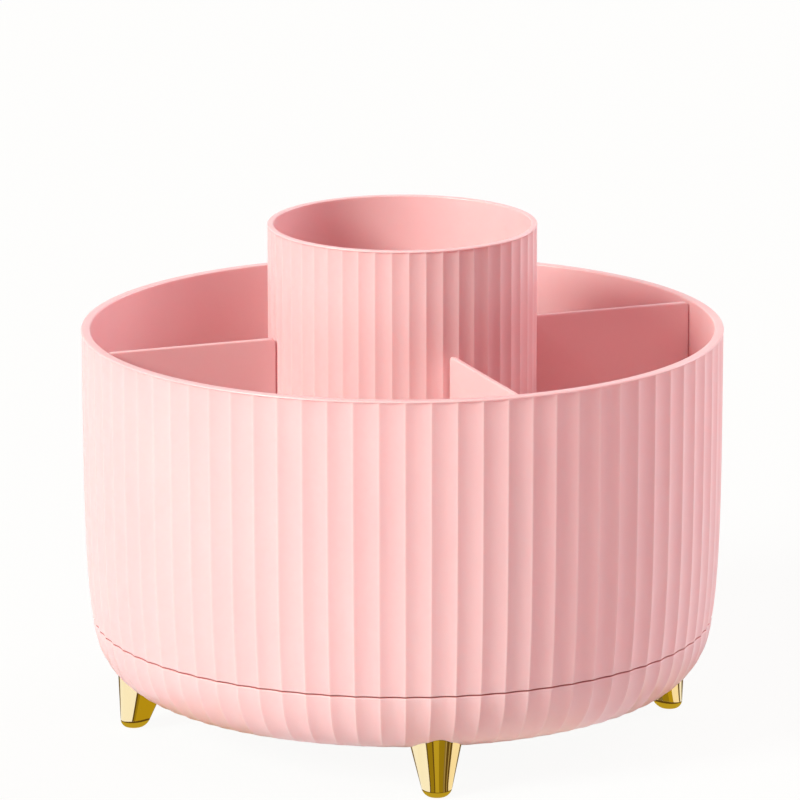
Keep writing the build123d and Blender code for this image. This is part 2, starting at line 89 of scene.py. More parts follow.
# Bowl
BOWL_BOTTOM_RADIUS = 96 * MM
BOWL_WALL = 3.4 * MM
BOWL_FLOOR = 3.0 * MM
BOWL_START_ANGLE = 5.0
FLUTE_FADE_START = 66.0
FLUTE_FADE_END = 88.0
FLUTE_FADE_SHARE = 0.3
SEAT_HEIGHT = 8.64 * MM
SEAT_WALL = 2.4 * MM
PIN_BOSS_RADIUS = 12 * MM
PIN_BOSS_TOP = 1.5 * MM
PIN_BORE = 5.05 * MM
PIN_FLANGE_BORE = 9.05 * MM
PIN_FLANGE_DEPTH = 2.5 * MM

# Feet
FOOT_AZIMUTH = 7.0
FOOT_BOTTOM_CENTRE = 102.25 * MM
FOOT_BOTTOM_RADII = (4.75 * MM, 4.9 * MM)
FOOT_TOP_CENTRE = 96.9 * MM
FOOT_TOP_RADII = (11.1 * MM, 11.1 * MM)
FOOT_BLANK_HEIGHT = 25.75 * MM
FOOT_ROUND = 3.0 * MM
FOOT_SINK = 0.4 * MM

# Cup
CUP_WALL = 2.4 * MM
CUP_FLOOR = 2.8 * MM
CUP_FLOOR_GAP = 0.3 * MM
CUP_FILLET = 3.0 * MM
CUP_FLUTE_COUNT = 50
CUP_FLUTE_DEPTH = 0.45 * MM
CUP_FLUTE_AZIMUTH = 2.84
CUP_LIP_ROUND = 0.55 * MM
CUP_LIP_OVERHANG = 0.1 * MM
SPIGOT_CLEARANCE = 0.3 * MM
SPIGOT_WALL = 2.0 * MM
SPIGOT_HEIGHT = 6.0 * MM
KEY_AZIMUTH = 66.0
KEY_WIDTH = 4.0 * MM
KEY_REACH = 1.0 * MM

# Dividers and their guides
DIVIDER_AZIMUTH = 21.0
DIVIDER_THICKNESS = 2.0 * MM
DIVIDER_CLEARANCE = 0.3 * MM
DIVIDER_FOOT_GAP = 0.1 * MM
DIVIDER_DROP = 0.6 * MM
DIVIDER_CORNER = 2.0 * MM
DIVIDER_ROUND = 0.6 * MM
DIVIDER_COUNT = 4
GUIDE_OFFSET = 2.1 * MM
GUIDE_WIDTH = 1.6 * MM
GUIDE_REACH = 3.0 * MM
GUIDE_DROP = 30 * MM
GUIDE_SINK = 0.5 * MM
CHANNEL_HEIGHT = 3.0 * MM
CHANNEL_START = 1.5 * MM

# Levels that follow from the sizes above
SEAM_Z = RIM_Z - TUB_HEIGHT
TUB_BOTTOM_Z = SEAM_Z + SEAM_GAP / 2
TUB_FLOOR_Z = TUB_BOTTOM_Z + TUB_FLOOR
BOWL_TOP_Z = SEAM_Z - SEAM_GAP / 2
BOWL_FLOOR_Z = UNDERSIDE_Z + BOWL_FLOOR
CUP_FLOOR_Z = cap_high.z + CUP_FLOOR_GAP
CUP_INNER_RADIUS = CUP_RADIUS - CUP_WALL
SPIGOT_RADIUS = CUP_INNER_RADIUS - SPIGOT_CLEARANCE

# Mesh fineness: columns across one flute as shares of its half width, from the ridge to the valley
FLUTE_COLUMNS = (0.0, 0.03, 0.08, 0.18, 0.36, 0.6, 0.8, 1.0)
# Where the painted highlight of a ridge ends
RIDGE_END = FLUTE_COLUMNS[3]
# Inside a fluted body only every seventh column goes on, two to a flute
COARSE_STEP = 7
ROUND_STEPS = 7
EDGE_STEPS = 5
WALL_ROWS = 26
WALL_ROW_POWER = 1.3
INNER_ROWS = 14
RUN_OUT_ROWS = 8
RUN_OUT_POWER = 2.2
GUIDE_ROWS = 8
CUP_ROWS = 12
CUP_INNER_ROWS = 10
CUP_FLOOR_SHARES = (0.6, 0.3, 0.1)
DIVIDER_ROWS = 12
DIVIDER_CORNER_STEPS = 6
FOOT_COLUMNS = 120
FOOT_ROUND_STEPS = 10
FOOT_ROWS = 14
# Times that a foot's top is worked out again, as its width there depends on its height
FOOT_TRIM_STEPS = 12
SHARP_ANGLE = 34


def direction(azimuth):
    """Unit vector pointing outwards at an azimuth."""
    return Vector((sin(radians(azimuth)), -cos(radians(azimuth)), 0))


def barrel_radius(z):
    """Ridge radius of the tub at height z."""
    depth = (RIM_Z - z) / TUB_HEIGHT
    turn_in = BOTTOM_TURN_IN * depth**BOTTOM_TURN_IN_POWER
    return RIM_RADIUS - LIP_OVERHANG - WALL_DRAFT * depth**2 - turn_in


SEAM_RADIUS = barrel_radius(SEAM_Z)
ELLIPSE_HEIGHT = (SEAM_Z - UNDERSIDE_Z) / (1 - sin(radians(BOWL_START_ANGLE)))
ELLIPSE_WIDTH = (SEAM_RADIUS - BOWL_BOTTOM_RADIUS) / cos(radians(BOWL_START_ANGLE))
ELLIPSE_Z = UNDERSIDE_Z + ELLIPSE_HEIGHT
BOWL_INNER_TOP = BOWL_BOTTOM_RADIUS + (ELLIPSE_WIDTH - BOWL_WALL) * cos(radians(BOWL_START_ANGLE))
SKIRT_RADIUS = BOWL_INNER_TOP - SKIRT_CLEARANCE


def arc(centre_r, centre_z, radius, start, end, steps=ROUND_STEPS):
    """Points (r, z) on an arc; angles in degrees, 0 outwards and 90 up."""
    angles = [radians(start + (end - start) * step / steps) for step in range(steps + 1)]
    return [(centre_r + radius * cos(a), centre_z + radius * sin(a)) for a in angles]


def spread(low, high, steps, power=1.0):
    """Values from low to high; a power over 1 packs them near low."""
    return [low + (high - low) * (step / steps) ** power for step in range(steps + 1)]


# Meshes

class Shape:
    """Vertices and faces gathered for one mesh, with how far each vertex lies on a ridge."""

    def __init__(self):
        self.points = []
        self.faces = []
        self.ridge = []

    def ring(self, points, ridge=None):
        """Add points, and give their numbers."""
        first = len(self.points)
        self.points.extend(points)
        self.ridge.extend(ridge or [0.0] * len(points))
        return list(range(first, len(self.points)))

    def bridge(self, lower, upper):
        """Faces between two rings, which may share vertices. Where one ring is finer, it has a
        whole number of steps to each step of the other."""
        if len(lower) == len(upper):
            count = len(lower)
            for j in range(count):
                k = (j + 1) % count
                corners = tuple(dict.fromkeys((lower[j], lower[k], upper[k], upper[j])))
                if len(corners) > 2:
                    self.faces.append(corners)
            return
        fine, coarse = (lower, upper) if len(lower) > len(upper) else (upper, lower)
        ratio = len(fine) // len(coarse)
        for j in range(len(coarse)):
            run = [fine[(ratio * j + i) % len(fine)] for i in range(ratio + 1)]
            ends = [coarse[(j + 1) % len(coarse)], coarse[j]]
            face = run + ends
            self.faces.append(tuple(face if fine is lower else reversed(face)))

    def cap(self, ring, upwards):
        """One face that closes a ring."""
        self.faces.append(tuple(ring if upwards else reversed(ring)))

    def prism(self, outline, thickness, plane):
        """A plate: a counterclockwise outline of (r, z) points, thickened to both sides."""
        origin, outwards, side = plane
        up = Vector((0, 0, 1))
        near = []
        far = []
        for r, z in outline:
            middle = origin + outwards * r + up * z
            near.append(middle - side * thickness / 2)
            far.append(middle + side * thickness / 2)
        a = self.ring(near)
        b = self.ring(far)
        count = len(outline)
        for j in range(count):
            k = (j + 1) % count
            self.faces.append((a[j], a[k], b[k], b[j]))
        self.faces.append(tuple(reversed(a)))
        self.faces.append(tuple(b))

    def build(self, name, material):
        mesh = bpy.data.meshes.new(name)
        mesh.from_pydata([tuple(p) for p in self.points], [], self.faces)
        # Groove mask: nearness to the seam, where the material paints shade
        groove = [max(0.0, 1 - abs(point.z - SEAM_Z) / GROOVE_REACH) for point in self.points]
        for label, values in (("ridge", self.ridge), ("groove", groove)):
            mesh.attributes.new(label, "FLOAT", "POINT").data.foreach_set("value", values)
        mesh.materials.append(material)
        mesh.shade_smooth()
        mesh.set_sharp_from_angle(angle=radians(SHARP_ANGLE))
        mesh.validate()
        obj = bpy.data.objects.new(name, mesh)
        bpy.context.scene.collection.objects.link(obj)
        return obj


def flute_columns(count, radius, depth, azimuth):
    """Columns round a fluted body: (azimuth, dip as a share of the radius, ridge share)."""
    pitch = 360 / count
    half_width = radius * sin(radians(pitch / 2))
    chord = radius * cos(radians(pitch / 2))
    sagitta = chord - (radius - depth)
    arc_radius = (half_width**2 + sagitta**2) / (2 * sagitta)
    full = sqrt(half_width**2 + RIDGE_ROUND**2) - RIDGE_ROUND
    columns = []
    shares = [(-1, s) for s in FLUTE_COLUMNS] + [(1, s) for s in reversed(FLUTE_COLUMNS[1:-1])]
    for flute in range(count):
        for side, share in shares:
            from_ridge = share * half_width
            softened = (sqrt(from_ridge**2 + RIDGE_ROUND**2) - RIDGE_ROUND) * half_width / full
            across = side * (half_width - from_ridge)
            dip = sqrt(arc_radius**2 - (half_width - softened) ** 2) - (arc_radius - sagitta)
            out = chord - dip
            turn = degrees(asin(across / hypot(out, across)))
            ridge = max(0.0, 1 - share / RIDGE_END)
            middle = azimuth + (flute + 0.5) * pitch
            columns.append((middle + turn, 1 - hypot(out, across) / radius, ridge))
    return columns


def fluted_ring(shape, columns, radius, z, share):
    """Ring of ridges and valleys, with a share of the flutes' full depth."""
    height = Vector((0, 0, z))
    points = [direction(a) * (radius * (1 - share * dip)) + height for a, dip, _ in columns]
    return shape.ring(points, [share * ridge for _, _, ridge in columns])


def plain_ring(shape, columns, radius, z):
    """Round ring with the coarse columns alone."""
    height = Vector((0, 0, z))
    return shape.ring([direction(a) * radius + height for a, _, _ in columns[::COARSE_STEP]])


def notched_ring(shape, columns, radius, z, reach, roof=None):
    """Ring with a notch for each key on the spigot. Between the notches it shares the vertices
    of the ring that is given as their roof."""
    half_notch = degrees((KEY_WIDTH / 2 + SPIGOT_CLEARANCE) / radius)
    ring = []
    for index, (azimuth, _, _) in enumerate(columns):
        notched = abs((azimuth - KEY_AZIMUTH + 90) % 180 - 90) < half_notch
        if roof and not notched:
            ring.append(roof[index])
        else:
            out = radius + (reach if notched else 0.0)
            ring += shape.ring([direction(azimuth) * out + Vector((0, 0, z))])
    return ring


def revolve(shape, columns, fluted_rows, plain_rows, closed=True):
    """A skin round the axis: fluted rows (radius, z, share) outside, then plain rows (radius, z)
    back round the inside."""
    rings = [fluted_ring(shape, columns, *row) for row in fluted_rows]
    rings += [plain_ring(shape, columns, *row) for row in plain_rows]
    for lower, upper in zip(rings, rings[1:]):
        shape.bridge(lower, upper)
    if closed:
        shape.bridge(rings[-1], rings[0])
    return rings


def run_out_rows(ridge_radius, lip_radius, low, high):
    """Rows where the flutes die out under a lip, as a round-nosed cutter leaves them."""
    rows = []
    for step in range(1, RUN_OUT_ROWS + 1):
        t = step / RUN_OUT_ROWS
        share = 1 - t**RUN_OUT_POWER
        rows.append((ridge_radius + (lip_radius - ridge_radius) * t, low + (high - low) * t, share))
    return rows


def tub_rows():
    """Fluted and plain rows of the tub, from its bottom edge up and back round the inside."""
    start_z = TUB_BOTTOM_Z + EDGE_ROUND
    start_r = barrel_radius(start_z)
    edge = arc(start_r - EDGE_ROUND, start_z, EDGE_ROUND, -90, 0, EDGE_STEPS)
    fluted = [(r, z, 1.0) for r, z in edge]
    run_out_z = RIM_Z - LIP_ROUND - FLUTE_RUN_OUT
    heights = spread(start_z, run_out_z, WALL_ROWS, WALL_ROW_POWER)
    fluted += [(barrel_radius(z), z, 1.0) for z in heights[1:]]
    fluted += run_out_rows(barrel_radius(run_out_z), RIM_RADIUS, run_out_z, RIM_Z - LIP_ROUND)
    lip = arc(RIM_RADIUS - LIP_ROUND, RIM_Z - LIP_ROUND, LIP_ROUND, 0, 90)
    fluted += [(r, z, 0.0) for r, z in lip[1:]]

    inner = RIM_RADIUS - LIP_OVERHANG - TUB_WALL
    plain = arc(inner + LIP_ROUND, RIM_Z - LIP_ROUND, LIP_ROUND, 90, 180)
    fillet_z = TUB_FLOOR_Z + TUB_FILLET
    heights = spread(RIM_Z - LIP_ROUND, fillet_z, INNER_ROWS)
    plain += [(barrel_radius(z) - TUB_WALL, z) for z in heights[1:]]
    fillet_r = plain[-1][0] - TUB_FILLET
    plain += arc(fillet_r, fillet_z, TUB_FILLET, 0, -90)[1:]
    plain += [
        (SPIGOT_RADIUS, TUB_FLOOR_Z),
        (SPIGOT_RADIUS, TUB_FLOOR_Z + SPIGOT_HEIGHT - EDGE_ROUND),
        (SPIGOT_RADIUS - EDGE_ROUND, TUB_FLOOR_Z + SPIGOT_HEIGHT),
        (SPIGOT_RADIUS - SPIGOT_WALL + EDGE_ROUND, TUB_FLOOR_Z + SPIGOT_HEIGHT),
        (SPIGOT_RADIUS - SPIGOT_WALL, TUB_FLOOR_Z + SPIGOT_HEIGHT - EDGE_ROUND),
        (SPIGOT_RADIUS - SPIGOT_WALL, TUB_FLOOR_Z),
        (HUB_RADIUS, TUB_FLOOR_Z),
        (HUB_RADIUS, TUB_FLOOR_Z + HUB_HEIGHT),
        (HUB_BORE, TUB_FLOOR_Z + HUB_HEIGHT),
        (HUB_BORE, TUB_BOTTOM_Z),
        (RACE_INNER, TUB_BOTTOM_Z),
        (RACE_INNER, TUB_BOTTOM_Z - RACE_PAD),
        (RACE_OUTER, TUB_BOTTOM_Z - RACE_PAD),
        (RACE_OUTER, TUB_BOTTOM_Z),
        (SKIRT_RADIUS - SKIRT_WALL, TUB_BOTTOM_Z),
        (SKIRT_RADIUS - SKIRT_WALL, TUB_BOTTOM_Z - SKIRT_DEPTH),
        (SKIRT_RADIUS, TUB_BOTTOM_Z - SKIRT_DEPTH),
        (SKIRT_RADIUS, TUB_BOTTOM_Z),
    ]
    return fluted, plain


def add_guides(shape):
    """Pairs of ribs on the wall and channels on the floor, which the dividers stand in."""
    top_z = RIM_Z - GUIDE_DROP
    floor_z = TUB_FLOOR_Z - GUIDE_SINK
    heights = spread(floor_z, top_z, GUIDE_ROWS)
    root = [(barrel_radius(z) - TUB_WALL + GUIDE_SINK, z) for z in heights]
    edge = [(barrel_radius(z) - TUB_WALL - GUIDE_REACH, z) for z in heights]
    channel_start = CUP_RADIUS + CHANNEL_START
    channel_end = edge[0][0] + GUIDE_SINK
    channel = [
        (channel_start, floor_z),
        (channel_end, floor_z),
        (channel_end, TUB_FLOOR_Z + CHANNEL_HEIGHT),
        (channel_start, TUB_FLOOR_Z + CHANNEL_HEIGHT),
    ]
    for index in range(DIVIDER_COUNT):
        outwards = direction(DIVIDER_AZIMUTH + index * 360 / DIVIDER_COUNT)
        across = outwards.cross(Vector((0, 0, 1)))
        for side in (-1, 1):
            plane = (across * side * GUIDE_OFFSET, outwards, across)
            shape.prism(edge[:1] + root + list(reversed(edge))[:-1], GUIDE_WIDTH, plane)
            shape.prism(channel, GUIDE_WIDTH, plane)


def add_keys(shape):
    """Two keys on the spigot, which stop the cup from turning."""
    sunk = SPIGOT_RADIUS - SPIGOT_WALL / 2
    reach = SPIGOT_RADIUS + KEY_REACH
    outline = [
        (sunk, TUB_FLOOR_Z - GUIDE_SINK),
        (reach, TUB_FLOOR_Z - GUIDE_SINK),
        (reach, TUB_FLOOR_Z + SPIGOT_HEIGHT - EDGE_ROUND),
        (sunk, TUB_FLOOR_Z + SPIGOT_HEIGHT - EDGE_ROUND),
    ]
    for azimuth in (KEY_AZIMUTH, KEY_AZIMUTH + 180):
        outwards = direction(azimuth)
        shape.prism(outline, KEY_WIDTH, (Vector(), outwards, outwards.cross(Vector((0, 0, 1)))))


def bowl_flute_share(angle):
    """Share of the flutes' depth at an angle of the bowl's section: they grow shallow below."""
    fade = (angle - FLUTE_FADE_START) / (FLUTE_FADE_END - FLUTE_FADE_START)
    fade = min(1.0, max(0.0, fade))
    return 1 - (1 - FLUTE_FADE_SHARE) * fade * fade * (3 - 2 * fade)


def bowl_rows():
    """Fluted and plain rows of the bowl, from its underside up and back round the inside."""
    start_z = BOWL_TOP_Z - EDGE_ROUND
    start_angle = degrees(asin((ELLIPSE_Z - start_z) / ELLIPSE_HEIGHT))
    fluted = []
    for angle in spread(90, start_angle, WALL_ROWS):
        radius = BOWL_BOTTOM_RADIUS + ELLIPSE_WIDTH * cos(radians(angle))
        height = ELLIPSE_Z - ELLIPSE_HEIGHT * sin(radians(angle))
        fluted.append((radius, height, bowl_flute_share(angle)))
    top_r = fluted[-1][0]
    edge = arc(top_r - EDGE_ROUND, start_z, EDGE_ROUND, 0, 90, EDGE_STEPS)
    fluted += [(r, z, 1.0) for r, z in edge[1:]]

    inner_height = ELLIPSE_HEIGHT - BOWL_FLOOR
    plain = []
    inner_angle = degrees(asin((ELLIPSE_Z - BOWL_TOP_Z) / inner_height))
    for angle in spread(inner_angle, 90, INNER_ROWS):
        radius = BOWL_BOTTOM_RADIUS + (ELLIPSE_WIDTH - BOWL_WALL) * cos(radians(angle))
        plain.append((radius, ELLIPSE_Z - inner_height * sin(radians(angle))))
    seat_z = BOWL_FLOOR_Z + SEAT_HEIGHT
    boss_z = TUB_BOTTOM_Z - PIN_BOSS_TOP
    for outer in (RACE_OUTER, RACE_INNER + SEAT_WALL):
        plain += [
            (outer, BOWL_FLOOR_Z),
            (outer, seat_z),
            (outer - SEAT_WALL, seat_z),
            (outer - SEAT_WALL, BOWL_FLOOR_Z),
        ]
    plain += [
        (PIN_BOSS_RADIUS, BOWL_FLOOR_Z),
        (PIN_BOSS_RADIUS, boss_z),
        (PIN_BORE, boss_z),
        (PIN_BORE, UNDERSIDE_Z + PIN_FLANGE_DEPTH),
        (PIN_FLANGE_BORE, UNDERSIDE_Z + PIN_FLANGE_DEPTH),
        (PIN_FLANGE_BORE, UNDERSIDE_Z),
    ]
    return fluted, plain


def cup_rows():
    """Fluted rows outside, plain rows inside, and rows (radius, z, notch reach) underneath."""
    ridge_radius = CUP_RADIUS - CUP_LIP_OVERHANG
    start_z = CUP_BOTTOM_Z + EDGE_ROUND
    lip_z = CUP_TOP_Z - CUP_LIP_ROUND
    run_out_z = lip_z - FLUTE_RUN_OUT
    edge = arc(ridge_radius - EDGE_ROUND, start_z, EDGE_ROUND, -90, 0, EDGE_STEPS)
    fluted = [(r, z, 1.0) for r, z in edge]
    fluted += [(ridge_radius, z, 1.0) for z in spread(start_z, run_out_z, CUP_ROWS)[1:]]
    fluted += run_out_rows(ridge_radius, CUP_RADIUS, run_out_z, lip_z)
    lip = arc(CUP_RADIUS - CUP_LIP_ROUND, lip_z, CUP_LIP_ROUND, 0, 90)
    fluted += [(r, z, 0.0) for r, z in lip[1:]]

    floor_z = CUP_FLOOR_Z + CUP_FLOOR
    inside = arc(CUP_INNER_RADIUS + CUP_LIP_ROUND, lip_z, CUP_LIP_ROUND, 90, 180)
    heights = spread(lip_z, floor_z + CUP_FILLET, CUP_INNER_ROWS)
    inside += [(CUP_INNER_RADIUS, z) for z in heights[1:]]
    inside += arc(CUP_INNER_RADIUS - CUP_FILLET, floor_z + CUP_FILLET, CUP_FILLET, 0, -90)[1:]
    inside += [(CUP_INNER_RADIUS * share, floor_z) for share in CUP_FLOOR_SHARES]
    notch_top = TUB_FLOOR_Z + SPIGOT_HEIGHT + SPIGOT_CLEARANCE
    below = [
        (CUP_INNER_RADIUS * CUP_FLOOR_SHARES[-1], CUP_FLOOR_Z, 0.0),
        (CUP_INNER_RADIUS, CUP_FLOOR_Z, 0.0),
        (CUP_INNER_RADIUS, notch_top, 0.0),
        (CUP_INNER_RADIUS, notch_top, KEY_REACH),
        (CUP_INNER_RADIUS, CUP_BOTTOM_Z, KEY_REACH),
    ]
    return fluted, inside, below


def make_tub(material):
    columns = flute_columns(FLUTE_COUNT, RIM_RADIUS, FLUTE_DEPTH, FLUTE_AZIMUTH)
    shape = Shape()
    fluted, plain = tub_rows()
    revolve(shape, columns, fluted, plain)
    add_guides(shape)
    add_keys(shape)
    return shape.build("tub_body", material)


def make_bowl(material):
    columns = flute_columns(FLUTE_COUNT, RIM_RADIUS, FLUTE_DEPTH, FLUTE_AZIMUTH)
    shape = Shape()
    fluted, plain = bowl_rows()
    revolve(shape, columns, fluted, plain)
    return shape.build("bowl_body", material)


def make_cup(material):
    columns = flute_columns(CUP_FLUTE_COUNT, CUP_RADIUS, CUP_FLUTE_DEPTH, CUP_FLUTE_AZIMUTH)
    shape = Shape()
    fluted, inside, below = cup_rows()
    rings = revolve(shape, columns, fluted, inside, closed=False)
    shape.cap(rings[-1], upwards=True)
    # The third row is the roof of the notches, and the fourth starts them at the same height
    skirt = [notched_ring(shape, columns, *row) for row in below[:3]]
    skirt.append(notched_ring(shape, columns, *below[3], roof=skirt[2]))
    skirt.append(notched_ring(shape, columns, *below[4]))
    for lower, upper in zip(skirt, skirt[1:]):
        shape.bridge(lower, upper)
    shape.cap(skirt[0], upwards=False)
    shape.bridge(skirt[-1], rings[0])
    return shape.build("cup_body", material)


def bowl_underside(point):
    """Height of the bowl's outer surface above a point in plan."""
    azimuth = degrees(atan2(point.x, -point.y))
    share = ((azimuth - FLUTE_AZIMUTH) * FLUTE_COUNT / 360) % 1
    dip = FLUTE_DEPTH / RIM_RADIUS * (1 - (2 * share - 1) ** 2)
    reach = (hypot(point.x, point.y) - BOWL_BOTTOM_RADIUS) / ELLIPSE_WIDTH
    dip *= bowl_flute_share(degrees(acos(max(0.0, min(1.0, reach)))))
    ridge_radius = hypot(point.x, point.y) / (1 - dip)
    reach = max(0.0, min(1.0, (ridge_radius - BOWL_BOTTOM_RADIUS) / ELLIPSE_WIDTH))
    return ELLIPSE_Z - ELLIPSE_HEIGHT * sqrt(1 - reach**2)


def foot_point(azimuth, angle, z, inset=0.0):
    """Point on a foot's side at height z; angle goes round the foot's ellipse."""
    rise = z / FOOT_BLANK_HEIGHT
    centre = FOOT_BOTTOM_CENTRE + (FOOT_TOP_CENTRE - FOOT_BOTTOM_CENTRE) * rise
    radii = zip(FOOT_BOTTOM_RADII, FOOT_TOP_RADII)
    radial, across = (low + (high - low) * rise for low, high in radii)
    outwards = direction(azimuth)
    sideways = Vector((0, 0, 1)).cross(outwards)
    along = centre + (radial - inset) * cos(radians(angle))
    return outwards * along + sideways * (across - inset) * sin(radians(angle)) + Vector((0, 0, z))


def make_foot(name, azimuth, material):
    """Tapered foot with a rounded bottom edge, its top let a little into the bowl's wall."""
    angles = spread(0, 360, FOOT_COLUMNS)[:-1]
    shape = Shape()
    rings = []
    for turn in spread(-90, 0, FOOT_ROUND_STEPS):
        inset = FOOT_ROUND * (1 - cos(radians(turn)))
        z = FOOT_ROUND * (1 + sin(radians(turn)))
        rings.append(shape.ring([foot_point(azimuth, angle, z, inset) for angle in angles]))
    tops = []
    for angle in angles:
        top = UNDERSIDE_Z
        for _ in range(FOOT_TRIM_STEPS):
            top = bowl_underside(foot_point(azimuth, angle, top)) + FOOT_SINK
        tops.append(top)
    for share in spread(0, 1, FOOT_ROWS)[1:]:
        heights = [FOOT_ROUND + (top - FOOT_ROUND) * share for top in tops]
        rings.append(shape.ring([foot_point(azimuth, *pair) for pair in zip(angles, heights)]))
    for lower, upper in zip(rings, rings[1:]):
        shape.bridge(lower, upper)
    shape.cap(rings[0], upwards=False)
    middle = direction(azimuth) * FOOT_TOP_CENTRE
    hub = shape.ring([middle + Vector((0, 0, bowl_underside(middle) + FOOT_SINK))])[0]
    last = rings[-1]
    shape.faces.extend((last[j], last[(j + 1) % FOOT_COLUMNS], hub) for j in range(FOOT_COLUMNS))
    return shape.build(name, material)


def inset_outline(outline, inset):
    """Outline of (r, z) points, counterclockwise, moved inwards."""
    moved = []
    for before, here, after in zip(outline[-1:] + outline, outline, outline[1:] + outline[:1]):
        back = Vector(here) - Vector(before)
        ahead = Vector(after) - Vector(here)
        normal = Vector((-back.y, back.x)).normalized() + Vector((-ahead.y, ahead.x)).normalized()
        normal *= 2 / normal.length_squared
        moved.append((here[0] + normal.x * inset, here[1] + normal.y * inset))
    return moved


def make_divider(name, azimuth, material):
    """Flat plate from the cup to the wall, with rounded top corners and softened edges."""
    inner = CUP_RADIUS + DIVIDER_CLEARANCE
    bottom = TUB_FLOOR_Z + DIVIDER_FOOT_GAP
    top = RIM_Z - DIVIDER_DROP
    wall = [(barrel_radius(z) - TUB_WALL - DIVIDER_CLEARANCE, z)
            for z in spread(bottom + TUB_FILLET, top - DIVIDER_CORNER, DIVIDER_ROWS)]
    outline = [(inner, bottom), (wall[0][0] - TUB_FILLET, bottom)] + wall
    corner_z = top - DIVIDER_CORNER
    outer_r = wall[-1][0] - DIVIDER_CORNER
    inner_r = inner + DIVIDER_CORNER
    outline += arc(outer_r, corner_z, DIVIDER_CORNER, 0, 90, DIVIDER_CORNER_STEPS)[1:]
    outline += arc(inner_r, corner_z, DIVIDER_CORNER, 90, 180, DIVIDER_CORNER_STEPS)
    outwards = direction(azimuth)
    side = outwards.cross(Vector((0, 0, 1)))
    shape = Shape()
    half = DIVIDER_THICKNESS / 2
    turns = spread(-90, 0, EDGE_STEPS)
    rows = [(1 + sin(radians(turn)), cos(radians(turn))) for turn in turns]
    levels = [(1 - reach, -(half - DIVIDER_ROUND * rise)) for rise, reach in rows]
    levels += [(inset, -offset) for inset, offset in reversed(levels)]
    rings = []
    for inset, offset in levels:
        points = [outwards * r + side * offset + Vector((0, 0, z))
                  for r, z in inset_outline(outline, inset * DIVIDER_ROUND)]
        rings.append(shape.ring(points))
    for near, far in zip(rings, rings[1:]):
        shape.bridge(near, far)
    shape.cap(rings[0], upwards=False)
    shape.cap(rings[-1], upwards=True)
    return shape.build(name, material)


# Materials. Noise scales are per metre, and bump distances are in metres.

def linear(red, green, blue):
    """Linear colour of an 8-bit screen colour."""
    parts = [channel / 255 for channel in (red, green, blue)]
    bent = (c / 12.92 if c <= 0.04045 else ((c + 0.055) / 1.055) ** 2.4 for c in parts)
    return (*bent, 1.0)


# Places of the Mix node's colour sockets, which share their names with its other kinds
MIX_COLOUR_INPUTS = (0, 6, 7)
MIX_COLOUR_OUTPUT = 2


class Nodes:
    """Short calls for building a material's node tree."""

    def __init__(self, name):
        self.material = bpy.data.materials.new(name)
        self.material.use_nodes = True
        self.tree = self.material.node_tree
        self.shader = self.tree.nodes["Principled BSDF"]
        self.place = self.tree.nodes.new("ShaderNodeTexCoord").outputs["Object"]

    def set(self, **values):
        for name, value in values.items():
            self.shader.inputs[name.replace("_", " ")].default_value = value

    def link(self, source, name):
        self.tree.links.new(source, self.shader.inputs[name.replace("_", " ")])

    def noise(self, scale, detail=2.0, roughness=0.5, stretch=(1, 1, 1), distortion=0.0):
        place = self.place
        if stretch != (1, 1, 1):
            mapping = self.tree.nodes.new("ShaderNodeMapping")
            mapping.inputs["Scale"].default_value = stretch
            self.tree.links.new(place, mapping.inputs["Vector"])
            place = mapping.outputs["Vector"]
        node = self.tree.nodes.new("ShaderNodeTexNoise")
        node.inputs["Scale"].default_value = scale
        node.inputs["Detail"].default_value = detail
        node.inputs["Roughness"].default_value = roughness
        node.inputs["Distortion"].default_value = distortion
        self.tree.links.new(place, node.inputs["Vector"])
        return node.outputs["Fac"]

    def attribute(self, name):
        node = self.tree.nodes.new("ShaderNodeAttribute")
        node.attribute_name = name
        return node.outputs["Fac"]

    def spread(self, source, span, onto):
        """A value mapped from one span onto another, and held at its ends."""
        node = self.tree.nodes.new("ShaderNodeMapRange")
        node.inputs["From Min"].default_value, node.inputs["From Max"].default_value = span
        node.inputs["To Min"].default_value, node.inputs["To Max"].default_value = onto
        self.tree.links.new(source, node.inputs["Value"])
        return node.outputs["Result"]

    def ramp(self, source, stops):
        node = self.tree.nodes.new("ShaderNodeValToRGB")
        ramp = node.color_ramp
        while len(ramp.elements) < len(stops):
            ramp.elements.new(0.5)
        for element, (position, colour) in zip(ramp.elements, stops):
            element.position = position
            element.color = colour
        self.tree.links.new(source, node.inputs["Fac"])
        return node.outputs["Color"]

    def mix(self, share, first, second):
        """Two colours mixed by a share; the first comes from a node."""
        node = self.tree.nodes.new("ShaderNodeMix")
        node.data_type = "RGBA"
        share_socket, first_socket, second_socket = (node.inputs[i] for i in MIX_COLOUR_INPUTS)
        self.tree.links.new(share, share_socket)
        self.tree.links.new(first, first_socket)
        second_socket.default_value = second
        return node.outputs[MIX_COLOUR_OUTPUT]

    def add(self, first, second):
        node = self.tree.nodes.new("ShaderNodeMath")
        node.operation = "ADD"
        self.tree.links.new(first, node.inputs[0])
        self.tree.links.new(second, node.inputs[1])
        return node.outputs[0]

    def bump(self, height, distance, strength, below=None):
        node = self.tree.nodes.new("ShaderNodeBump")
        node.inputs["Strength"].default_value = strength
        node.inputs["Distance"].default_value = distance
        self.tree.links.new(height, node.inputs["Height"])
        if below is not None:
            self.tree.links.new(below, node.inputs["Normal"])
        return node.outputs["Normal"]


